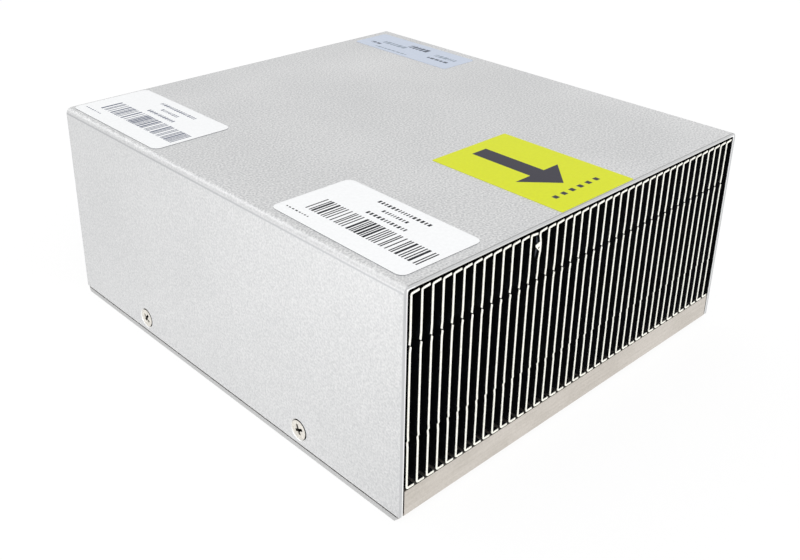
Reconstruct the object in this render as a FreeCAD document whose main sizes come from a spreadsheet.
import FreeCAD, Part
import math
import os

import Sketcher

# Passive server CPU heatsink: a stack of folded sheet-aluminium fins soldered to a thick
# base plate, under a folded sheet cover that is screwed to the sides of the base.
# Frame: origin at the middle of the footprint on the base's underside, +X along the row
# of fins, +Y the way the air leaves, +Z up. The open fin faces are at -Y and +Y.

os.makedirs("parts", exist_ok=True)
doc = FreeCAD.newDocument("CpuHeatsink")

# name, value in mm unless the note says otherwise, note
sizeRows = [
    ("finCount", 40, "number of fins"),
    ("finPitch", 3.14, "fin to fin"),
    ("finSheet", 0.5, "sheet thickness of a fin"),
    ("finFlange", 2.5, "reach of a fin's two flanges, its own sheet included"),
    ("finHeight", 49.8, "from the foot flange to the high edge of the top flange"),
    ("finBendLow", 0.3, "inner radius of the foot bend"),
    ("finBendHigh", 0.1, "inner radius of the top bend"),
    ("flangeTilt", 6, "degrees that the top flange springs up towards its free edge"),
    ("slitHeight", 37.0, "the lanced slit above a fin's foot"),
    ("slitOpening", 0.5, "height of the slit"),
    ("slitFall", 0.4, "how much the slit drops across the sheet"),
    ("lipLength", 1.7, "length of the bent lip on each side of the slit"),
    ("lipShift", 0.17, "how far each lip is bent out of the sheet"),
    ("jogHeight", 12.8, "the pressed jog above a fin's foot"),
    ("jogLength", 1.4, "length of the jog's two slopes"),
    ("jogStep", 0.3, "height of the jog's steep part"),
    ("jogShift", 0.12, "sideways shift above the jog"),
    ("markDepth", 3, "how far the slit and the jog run in from the front edge"),
    ("pressedFinIndex", 13, "place in the row of the fin with a pressed top flange"),
    ("pressedTilt", -6, "degrees that the pressed flange falls towards its free edge"),
    ("pressedDrop", 0.35, "how far the pressed flange's free edge is below the others"),
    ("tornFinIndex", 14, "place in the row of the fin with a torn front edge"),
    ("tearDrop", 4.4, "middle of the torn spot below the fin's high edge"),
    ("tearReach", 3.0, "how far above and below its middle the torn spot goes"),
    ("tearDepth", 1.0, "how far the torn spot runs in from the front edge"),
    ("tearShift", 0.35, "how far the web is bent aside at the torn spot"),
    ("curlReach", 1.15, "how far the torn curl stands out on the other side"),
    ("curlRise", 1.0, "the curl's tip above the middle of the torn spot"),
    ("curlThickness", 0.45, "thickness of the curl at its tip"),
    ("tearHole", 0.38, "from the middle of the hole under the curl to its corners"),
    ("bodyDepth", 139.7, "front to back of every main piece"),
    ("solderGap", 0.3, "solder joint between base and foot flanges"),
    ("topGap", 0.65, "clearance between the fins and the cover's roof"),
    ("sideGap", 0.8, "clearance between the end fins and the cover's walls"),
    ("baseThickness", 8.2, "thickness of the base plate"),
    ("ledgeHeight", 1.25, "thickness of the ledges along the base's sides"),
    ("ledgeCorner", 1.2, "plan radius of the ledges' ends"),
    ("baseBevel", 1.6, "bevel along the base's front and rear bottom edges"),
    ("rabbetGap", 0.45, "clearance between the base's side and the cover's wall"),
    ("coverSheet", 1.05, "sheet thickness of the cover"),
    ("coverBend", 0.7, "inner radius of the cover's two bends"),
    ("wallGap", 0.4, "clearance between the ledge and the cover's wall"),
    ("screwSpacing", 69.4, "between the two screws of one side"),
    ("screwRise", 5.6, "screw axis above the underside"),
    ("screwRadius", 1.5, "radius of the screw's shank"),
    ("screwLength", 7.5, "length of the screw under its flat top"),
    ("headRadius", 2.4, "radius of the countersunk head"),
    ("headDepth", 0.6, "the head's top below the cover's outer face"),
    ("headGap", 0.05, "clearance between the head and its countersink"),
    ("threadGap", 0.05, "clearance between the shank and the hole"),
    ("holeRunout", 1.2, "depth of the hole past the screw's tip"),
    ("recessSpan", 3.0, "end to end across the driver's cross"),
    ("recessSlot", 0.65, "width of the cross's arms"),
    ("recessDepth", 1.1, "depth of the driver's cross"),
    ("labelSheet", 0.1, "thickness of the labels"),
    ("labelWidth", 24.2, "width of the two paper labels"),
    ("labelLength", 44.2, "length of the two paper labels"),
    ("labelCorner", 2, "corner radius of the two paper labels"),
    ("rearLabelX", 14.0, "rear paper label's middle from the left side"),
    ("rearLabelY", 117.0, "rear paper label's middle from the front"),
    ("frontLabelX", 14.95, "front paper label's middle from the left side"),
    ("frontLabelY", 25.2, "front paper label's middle from the front"),
    ("frontLabelTurn", 0.9, "degrees that the front paper label is stuck askew"),
    ("arrowLabelWidth", 28.5, "width of the arrow label"),
    ("arrowLabelLength", 41.6, "length of the arrow label"),
    ("arrowLabelX", 65.05, "arrow label's middle from the left side"),
    ("arrowLabelY", 21.1, "arrow label's middle from the front"),
    ("filmLabelWidth", 14.5, "width of the clear film label"),
    ("filmLabelLength", 43.5, "length of the clear film label"),
    ("filmLabelX", 116.75, "clear film label's middle from the left side"),
    ("filmLabelY", 115.25, "clear film label's middle from the front"),
]

sheet = doc.addObject("Spreadsheet::Sheet", "Sizes")
for row, (alias, value, note) in enumerate(sizeRows, start=1):
    sheet.set("A%d" % row, alias)
    sheet.set("B%d" % row, str(value))
    sheet.set("C%d" % row, note)
    sheet.setAlias("B%d" % row, alias)
doc.recompute()


def size(alias):
    return float(sheet.get(alias))


# Lengths that follow from the sheet, each with its number and its expression.
derived = {
    "stackHalf": (
        ((size("finCount") - 1) * size("finPitch") + size("finFlange")) / 2,
        "((Sizes.finCount - 1) * Sizes.finPitch + Sizes.finFlange) / 2",
    ),
    "depthHalf": (size("bodyDepth") / 2, "Sizes.bodyDepth / 2"),
    "spacingHalf": (size("screwSpacing") / 2, "Sizes.screwSpacing / 2"),
    "spanHalf": (size("recessSpan") / 2, "Sizes.recessSpan / 2"),
    "slotHalf": (size("recessSlot") / 2, "Sizes.recessSlot / 2"),
}

# Outer side of the cover, side of the base above its ledges, and the levels of the stack.
outerSide = ("stackHalf", "sideGap", "coverSheet")
baseSide = ("stackHalf", "sideGap", "-rabbetGap")
finFoot = ("baseThickness", "solderGap")
roofUnder = finFoot + ("finHeight", "topGap")
roofTop = roofUnder + ("coverSheet",)
wallFoot = ("ledgeHeight", "wallGap")


def flipped(terms):
    return tuple(term[1:] if term.startswith("-") else "-" + term for term in terms)


def number(*terms):
    amount = 0.0
    for term in terms:
        alias = term.lstrip("-")
        value = derived[alias][0] if alias in derived else size(alias)
        amount += -value if term.startswith("-") else value
    return amount


def formula(*terms):
    text = "0"
    for term in terms:
        alias = term.lstrip("-")
        word = "(%s)" % derived[alias][1] if alias in derived else "Sizes." + alias
        text += (" - " if term.startswith("-") else " + ") + word
    return text


def newBody(name):
    body = doc.addObject("PartDesign::Body", name)
    body.Label = name
    return body


def newSketch(body, name, role, away=()):
    # A sketch on one of the body's own origin planes, moved along its normal.
    sketch = body.newObject("Sketcher::SketchObject", name)
    plane = [item for item in body.Origin.OriginFeatures if item.Role == role][0]
    sketch.AttachmentSupport = [(plane, "")]
    sketch.MapMode = "FlatFace"
    if away:
        sketch.AttachmentOffset = FreeCAD.Placement(
            FreeCAD.Vector(0, 0, number(*away)), FreeCAD.Rotation()
        )
        sketch.setExpression("AttachmentOffset.Base.z", formula(*away))
    return sketch


def bind(sketch, constraint, *terms):
    index = sketch.addConstraint(constraint)
    sketch.setExpression("Constraints[%d]" % index, formula(*terms))


def drawPolygon(sketch, corners):
    # Straight-sided outline; every corner is held by its two distances from the origin.
    first = sketch.GeometryCount
    points = [FreeCAD.Vector(number(*x), number(*y), 0) for x, y in corners]
    for index, point in enumerate(points):
        following = points[(index + 1) % len(points)]
        sketch.addGeometry(Part.LineSegment(point, following), False)
    for index, (x, y) in enumerate(corners):
        line = first + index
        before = first + (index - 1) % len(points)
        sketch.addConstraint(Sketcher.Constraint("Coincident", before, 2, line, 1))
        holdPoint(sketch, line, 1, x, y)


def holdPoint(sketch, line, end, x, y):
    if x:
        bind(sketch, Sketcher.Constraint("DistanceX", line, end, number(*x)), *x)
    else:
        sketch.addConstraint(Sketcher.Constraint("PointOnObject", line, end, -2))
    if y:
        bind(sketch, Sketcher.Constraint("DistanceY", line, end, number(*y)), *y)
    else:
        sketch.addConstraint(Sketcher.Constraint("PointOnObject", line, end, -1))


def drawChain(sketch, pieces):
    # Closed outline of lines and arcs, tangent wherever an arc meets a line.
    ends = []
    for piece in pieces:
        if len(piece) == 2:
            start, finish = piece
            shape = Part.LineSegment(FreeCAD.Vector(*start, 0), FreeCAD.Vector(*finish, 0))
            entry, leaving, curved = 1, 2, False
        else:
            centre, radius, fromAngle, toAngle = piece
            circle = Part.Circle(FreeCAD.Vector(*centre, 0), FreeCAD.Vector(0, 0, 1), radius)
            low, high = sorted((math.radians(fromAngle), math.radians(toAngle)))
            shape = Part.ArcOfCircle(circle, low, high)
            entry, leaving, curved = (1, 2, True) if fromAngle < toAngle else (2, 1, True)
        ends.append((sketch.addGeometry(shape, False), entry, leaving, curved))
    for index, (line, entry, leaving, curved) in enumerate(ends):
        nextLine, nextEntry, nextLeaving, nextCurved = ends[(index + 1) % len(ends)]
        kind = "Tangent" if curved or nextCurved else "Coincident"
        sketch.addConstraint(Sketcher.Constraint(kind, line, leaving, nextLine, nextEntry))


def addPad(body, name, sketch, *terms, midplane=False, inward=False):
    pad = body.newObject("PartDesign::Pad", name)
    pad.Profile = sketch
    pad.Length = number(*terms)
    pad.setExpression("Length", formula(*terms))
    pad.Midplane = midplane
    pad.Reversed = inward
    return pad


def addPocket(body, name, sketch, *terms, midplane=False):
    pocket = body.newObject("PartDesign::Pocket", name)
    pocket.Profile = sketch
    pocket.Length = number(*terms)
    pocket.setExpression("Length", formula(*terms))
    pocket.Midplane = midplane
    return pocket


def addMirrored(body, name, features, role):
    mirrored = body.newObject("PartDesign::Mirrored", name)
    plane = [item for item in body.Origin.OriginFeatures if item.Role == role][0]
    mirrored.Originals = features
    mirrored.MirrorPlane = (plane, [""])
    body.Tip = mirrored
    return mirrored


def roundUprights(body, name, feature, limit, *terms):
    # Fillet on every edge that runs along Z and ends no higher than the limit.
    doc.recompute()
    names = []
    for index, edge in enumerate(feature.Shape.Edges, start=1):
        box = edge.BoundBox
        if box.XLength < 1e-6 and box.YLength < 1e-6 and box.ZMax < limit:
            names.append("Edge%d" % index)
    fillet = body.newObject("PartDesign::Fillet", name)
    fillet.Base = (feature, names)
    fillet.Radius = number(*terms)
    fillet.setExpression("Radius", formula(*terms))
    return fillet


def place(body, x, y, z, turn=0.0):
    rotation = FreeCAD.Rotation(FreeCAD.Vector(0, 0, 1), turn)
    body.Placement = FreeCAD.Placement(
        FreeCAD.Vector(number(*x), number(*y), number(*z)), rotation
    )
    body.setExpression("Placement.Base.x", formula(*x))
    body.setExpression("Placement.Base.y", formula(*y))
    body.setExpression("Placement.Base.z", formula(*z))


def makeBase():
    body = newBody("base_plate")
    left = flipped(outerSide)
    inner = flipped(baseSide)
    top = ("baseThickness",)
    ledge = ("ledgeHeight",)
    section = newSketch(body, "BaseSection", "XZ_Plane")
    drawPolygon(section, [
        (left, ()), (outerSide, ()), (outerSide, ledge), (baseSide, ledge),
        (baseSide, top), (inner, top), (inner, ledge), (left, ledge),
    ])
    plate = addPad(body, "BasePlate", section, "bodyDepth", midplane=True)
    cornerLimit = number("ledgeHeight") + 0.01
    roundUprights(body, "LedgeCorners", plate, cornerLimit, "ledgeCorner")
    front = ("-depthHalf",)
    rear = ("depthHalf",)
    bevels = newSketch(body, "BevelSection", "YZ_Plane")
    drawPolygon(bevels, [
        (front, ()), (front + ("baseBevel",), ()), (front, ("baseBevel",)),
    ])
    drawPolygon(bevels, [
        (rear, ()), (rear, ("baseBevel",)), (rear + ("-baseBevel",), ()),
    ])
    addPocket(body, "EdgeBevels", bevels, *(outerSide + outerSide), midplane=True)
    bores = newSketch(body, "ScrewHoles", "YZ_Plane", away=baseSide)
    for middle in (("spacingHalf",), ("-spacingHalf",)):
        addCircle(bores, middle, ("screwRise",), ("screwRadius", "threadGap"))
    depth = ("screwLength", "holeRunout", "headDepth", "-coverSheet", "-rabbetGap")
    drilled = addPocket(body, "DrilledHoles", bores, *depth)
    addMirrored(body, "HolesOtherSide", [drilled], "YZ_Plane")
    return body


def addCircle(sketch, x, y, radius):
    centre = FreeCAD.Vector(number(*x), number(*y), 0)
    circle = Part.Circle(centre, FreeCAD.Vector(0, 0, 1), number(*radius))
    line = sketch.addGeometry(circle, False)
    bind(sketch, Sketcher.Constraint("Radius", line, number(*radius)), *radius)
    holdPoint(sketch, line, 3, x, y)


def drawCoverSection(sketch):
    side = number(*outerSide)
    inside = number(*outerSide, "-coverSheet")
    foot = number(*wallFoot)
    roof = number(*roofTop)
    under = number(*roofUnder)
    bend = number("coverBend")
    big = number("coverBend", "coverSheet")
    drawChain(sketch, [
        ((-side, foot), (-side, roof - big)),
        ((-side + big, roof - big), big, 180, 90),
        ((-side + big, roof), (side - big, roof)),
        ((side - big, roof - big), big, 90, 0),
        ((side, roof - big), (side, foot)),
        ((side, foot), (inside, foot)),
        ((inside, foot), (inside, under - bend)),
        ((inside - bend, under - bend), bend, 0, 90),
        ((inside - bend, under), (-inside + bend, under)),
        ((-inside + bend, under - bend), bend, 90, 180),
        ((-inside, under - bend), (-inside, foot)),
        ((-inside, foot), (-side, foot)),
    ])
    for line in (0, 4, 6, 10):
        sketch.addConstraint(Sketcher.Constraint("Vertical", line))
    for line in (2, 5, 8, 11):
        sketch.addConstraint(Sketcher.Constraint("Horizontal", line))
    sketch.addConstraint(Sketcher.Constraint("Coincident", 1, 3, 9, 3))
    sketch.addConstraint(Sketcher.Constraint("Coincident", 3, 3, 7, 3))
    holdPoint(sketch, 0, 1, flipped(outerSide), wallFoot)
    bind(sketch, Sketcher.Constraint("DistanceX", 4, 2, side), *outerSide)
    bind(sketch, Sketcher.Constraint("DistanceY", 2, 1, roof), *roofTop)
    bind(sketch, Sketcher.Constraint("DistanceY", 4, 2, foot), *wallFoot)
    bind(sketch, Sketcher.Constraint("DistanceY", 8, 1, under), *roofUnder)
    bind(sketch, Sketcher.Constraint("Radius", 7, bend), "coverBend")
    bind(sketch, Sketcher.Constraint("Radius", 9, bend), "coverBend")


def makeCover():
    body = newBody("cover")
    section = newSketch(body, "CoverSection", "XZ_Plane")
    drawCoverSection(section)
    addPad(body, "FoldedCover", section, "bodyDepth", midplane=True)
    rims = newSketch(body, "CountersinkRims", "YZ_Plane", away=outerSide)
    for middle in (("spacingHalf",), ("-spacingHalf",)):
        addCircle(rims, middle, ("screwRise",), ("headRadius", "headDepth", "headGap"))
    sinks = addPocket(body, "Countersinks", rims, "coverSheet")
    sinks.TaperAngle = -45
    addMirrored(body, "SinksOtherSide", [sinks], "YZ_Plane")
    return body


def drawFinSection(sketch, highEdge, tiltName):
    gauge = number("finSheet")
    reach = number("finFlange")
    high = number(*highEdge)
    tilt = size(tiltName)
    lean = math.radians(tilt)
    lowBend = number("finBendLow")
    lowBig = number("finBendLow", "finSheet")
    highBend = number("finBendHigh")
    highBig = number("finBendHigh", "finSheet")

    # The top bend's centre, from the top flange's outer free corner.
    along = (reach - highBig + highBig * math.sin(lean)) / math.cos(lean)
    centreZ = high - along * math.sin(lean) - highBig * math.cos(lean)
    normal = (-math.sin(lean), math.cos(lean))

    def topPoint(distance, radius):
        x = highBig + normal[0] * radius + distance * math.cos(lean)
        z = centreZ + normal[1] * radius + distance * math.sin(lean)
        return (x, z)

    drawChain(sketch, [
        ((reach, 0), (lowBig, 0)),
        ((lowBig, lowBig), lowBig, 270, 180),
        ((0, lowBig), (0, centreZ)),
        ((highBig, centreZ), highBig, 180, 90 + tilt),
        (topPoint(0, highBig), topPoint(along, highBig)),
        (topPoint(along, highBig), topPoint(along, highBend)),
        (topPoint(along, highBend), topPoint(0, highBend)),
        ((highBig, centreZ), highBend, 90 + tilt, 180),
        ((gauge, centreZ), (gauge, lowBig)),
        ((lowBig, lowBig), lowBend, 180, 270),
        ((lowBig, gauge), (reach, gauge)),
        ((reach, gauge), (reach, 0)),
    ])
    for line in (2, 8, 11):
        sketch.addConstraint(Sketcher.Constraint("Vertical", line))
    for line in (0, 10):
        sketch.addConstraint(Sketcher.Constraint("Horizontal", line))
    sketch.addConstraint(Sketcher.Constraint("Coincident", 1, 3, 9, 3))
    sketch.addConstraint(Sketcher.Constraint("Coincident", 3, 3, 7, 3))
    sketch.addConstraint(Sketcher.Constraint("Parallel", 4, 6))
    sketch.addConstraint(Sketcher.Constraint("Perpendicular", 4, 5))
    sketch.addConstraint(Sketcher.Constraint("PointOnObject", 2, 1, -2))
    sketch.addConstraint(Sketcher.Constraint("PointOnObject", 0, 1, -1))
    bind(sketch, Sketcher.Constraint("DistanceX", 0, 1, reach), "finFlange")
    bind(sketch, Sketcher.Constraint("DistanceX", 8, 1, gauge), "finSheet")
    bind(sketch, Sketcher.Constraint("DistanceX", 4, 2, reach), "finFlange")
    bind(sketch, Sketcher.Constraint("DistanceY", 4, 2, high), *highEdge)
    bind(sketch, Sketcher.Constraint("Radius", 9, lowBend), "finBendLow")
    bind(sketch, Sketcher.Constraint("Radius", 7, highBend), "finBendHigh")
    angle = sketch.addConstraint(Sketcher.Constraint("Angle", 4, lean))
    sketch.setExpression("Constraints[%d]" % angle, "Sizes.%s * 1 deg" % tiltName)


def drawMarkedEdge(sketch):
    # The web's front edge between the marks: a jog low down, then a slit whose lower lip
    # is bent one way and whose upper lip is bent the other way.
    gauge = ("finSheet",)
    start = ("jogHeight", "-jogLength")
    jogEnd = ("jogHeight", "jogStep", "jogLength")
    jogTop = ("jogHeight", "jogStep")
    lipStart = ("slitHeight", "-lipLength")
    lipEnd = ("slitHeight", "slitOpening", "lipLength")
    left = ()
    drawPolygon(sketch, [
        (left, start), (gauge, start),
        (gauge + ("-lipShift",), ("jogHeight",)),
        (gauge + ("jogShift",), jogTop),
        (gauge, jogEnd), (gauge, lipStart),
        (gauge + ("lipShift",), ("slitHeight", "-slitFall")),
        (("lipShift",), ("slitHeight",)),
        (left, lipStart), (left, jogEnd),
        (("jogShift",), jogTop),
        (("-lipShift",), ("jogHeight",)),
    ])
    upper = ("slitHeight", "slitOpening")
    drawPolygon(sketch, [
        (("-lipShift",), upper),
        (gauge + ("-lipShift",), upper + ("-slitFall",)),
        (gauge, lipEnd), (left, lipEnd),
    ])


def drawTornEdge(sketch):
    # The web's front edge where it was struck: bent to one side over a short stretch, with
    # a curl of torn metal on the other side and a small hole under the curl.
    gauge = ("finSheet",)
    left = ()
    middle = ("finHeight", "-tearDrop")
    bottom = middle + ("-tearReach",)
    top = middle + ("tearReach",)
    curlTop = middle + ("curlRise",)
    curlFoot = middle + ("-curlRise",)
    drawPolygon(sketch, [
        (left, bottom), (gauge, bottom),
        (gauge + ("tearShift",), curlFoot), (gauge + ("tearShift",), curlTop),
        (gauge, top), (left, top),
        (("tearShift",), curlTop + ("curlThickness",)),
        (("-curlReach",), curlTop), (("-curlReach",), curlTop + ("-curlThickness",)),
        (("tearShift",), curlFoot),
    ])
    drawPolygon(sketch, [
        (("-tearHole",), middle), (left, middle + ("-tearHole",)),
        (("tearHole",), middle), (left, middle + ("tearHole",)),
    ])


def reworkEdge(body, name, low, high, depth, drawEdge):
    # Cut a stretch of the web's front edge back and put the marked edge in its place.
    front = ("depthHalf",)
    window = newSketch(body, name + "Window", "XZ_Plane", away=front)
    drawPolygon(window, [
        ((), low), (("finSheet",), low), (("finSheet",), high), ((), high),
    ])
    addPocket(body, name + "CutBack", window, depth)
    outline = newSketch(body, name + "Outline", "XZ_Plane", away=front)
    drawEdge(outline)
    addPad(body, name, outline, depth, inward=True)


def makeFin(index):
    finNumber = index + 1
    body = newBody("fin_%02d" % finNumber)
    section = newSketch(body, "FinSection", "XZ_Plane")
    if finNumber == size("pressedFinIndex"):
        drawFinSection(section, ("finHeight", "-pressedDrop"), "pressedTilt")
    else:
        drawFinSection(section, ("finHeight",), "flangeTilt")
    addPad(body, "FoldedFin", section, "bodyDepth", midplane=True)
    low = ("jogHeight", "-jogLength")
    high = ("slitHeight", "slitOpening", "lipLength")
    reworkEdge(body, "LancedEdge", low, high, "markDepth", drawMarkedEdge)
    if finNumber == size("tornFinIndex"):
        middle = ("finHeight", "-tearDrop")
        tearLow = middle + ("-tearReach",)
        tearHigh = middle + ("tearReach",)
        reworkEdge(body, "TornEdge", tearLow, tearHigh, "tearDepth", drawTornEdge)
    place(body, ("-stackHalf",), (), finFoot)
    across = "%s + %d * Sizes.finPitch" % (formula("-stackHalf"), index)
    body.Placement.Base.x = number("-stackHalf") + index * size("finPitch")
    body.setExpression("Placement.Base.x", across)
    return body


def makeScrew(name, side, end):
    body = newBody(name)
    half = newSketch(body, "ScrewSection", "XZ_Plane")
    tip = ("-screwLength",)
    shank = ("screwRadius",)
    neck = ("screwRadius", "-headRadius")
    drawPolygon(half, [
        ((), ()), (tip, ()), (tip, shank), (neck, shank), ((), ("headRadius",)),
    ])
    turned = body.newObject("PartDesign::Revolution", "TurnedScrew")
    turned.Profile = half
    turned.ReferenceAxis = (half, ["H_Axis"])
    turned.Angle = 360
    cross = newSketch(body, "CrossOutline", "YZ_Plane")
    long = ("spanHalf",)
    short = ("slotHalf",)
    longBack = flipped(long)
    shortBack = flipped(short)
    drawPolygon(cross, [
        (long, shortBack), (long, short), (short, short), (short, long),
        (shortBack, long), (shortBack, short), (longBack, short), (longBack, shortBack),
        (shortBack, shortBack), (shortBack, longBack), (short, longBack), (short, shortBack),
    ])
    addPocket(body, "DriverCross", cross, "recessDepth")
    x = outerSide + ("-headDepth",)
    y = ("spacingHalf",)
    place(
        body,
        x if side > 0 else flipped(x),
        y if end > 0 else flipped(y),
        ("screwRise",),
        turn=0.0 if side > 0 else 180.0,
    )
    return body


def makeScrews():
    bodies = []
    for side in (1, -1):
        for end in (1, -1):
            bodies.append(makeScrew("screw%d" % (len(bodies) + 1), side, end))
    group = doc.addObject("Part::Compound", "CoverScrews")
    group.Links = bodies
    group.Label = "cover_screws"
    return group


def makeLabel(name, width, length, corner, x, y, turn=""):
    body = newBody(name)
    outline = newSketch(body, "LabelOutline", "XY_Plane")
    derived[width + "Half"] = (size(width) / 2, "Sizes.%s / 2" % width)
    derived[length + "Half"] = (size(length) / 2, "Sizes.%s / 2" % length)
    right = (width + "Half",)
    back = (length + "Half",)
    left = flipped(right)
    front = flipped(back)
    drawPolygon(outline, [(left, front), (right, front), (right, back), (left, back)])
    pad = addPad(body, "LabelSheet", outline, "labelSheet")
    if corner:
        roundUprights(body, "LabelCorners", pad, size(length), corner)
    place(body, flipped(outerSide) + (x,), ("-depthHalf", y), roofTop)
    if turn:
        body.Placement.Rotation = FreeCAD.Rotation(FreeCAD.Vector(0, 0, 1), -size(turn))
        body.setExpression("Placement.Rotation.Angle", "Sizes.%s * 1 deg" % turn)
        body.setExpression("Placement.Rotation.Axis.z", "-1")
    return body


nodes = [makeBase(), makeCover()]
for finIndex in range(int(size("finCount"))):
    nodes.append(makeFin(finIndex))
nodes.append(makeScrews())
nodes.append(makeLabel(
    "label_rear", "labelWidth", "labelLength", "labelCorner", "rearLabelX", "rearLabelY"
))
nodes.append(makeLabel(
    "label_front", "labelWidth", "labelLength", "labelCorner",
    "frontLabelX", "frontLabelY", turn="frontLabelTurn",
))
nodes.append(makeLabel(
    "label_arrow", "arrowLabelWidth", "arrowLabelLength", "", "arrowLabelX", "arrowLabelY"
))
nodes.append(makeLabel(
    "label_film", "filmLabelWidth", "filmLabelLength", "", "filmLabelX", "filmLabelY"
))
doc.recompute()

for item in doc.Objects:
    for word in ("Invalid", "Error"):
        if word in item.State:
            raise RuntimeError("%s is %s" % (item.Label, word))
for node in nodes:
    if node.Shape.isNull() or not node.Shape.isValid():
        raise RuntimeError("%s has no valid shape" % node.Label)
for node in nodes:
    node.Shape.exportStep("parts/%s.step" % node.Label)
    print("%s: %d solids, %.2f mm3" % (node.Label, len(node.Shape.Solids), node.Shape.Volume))
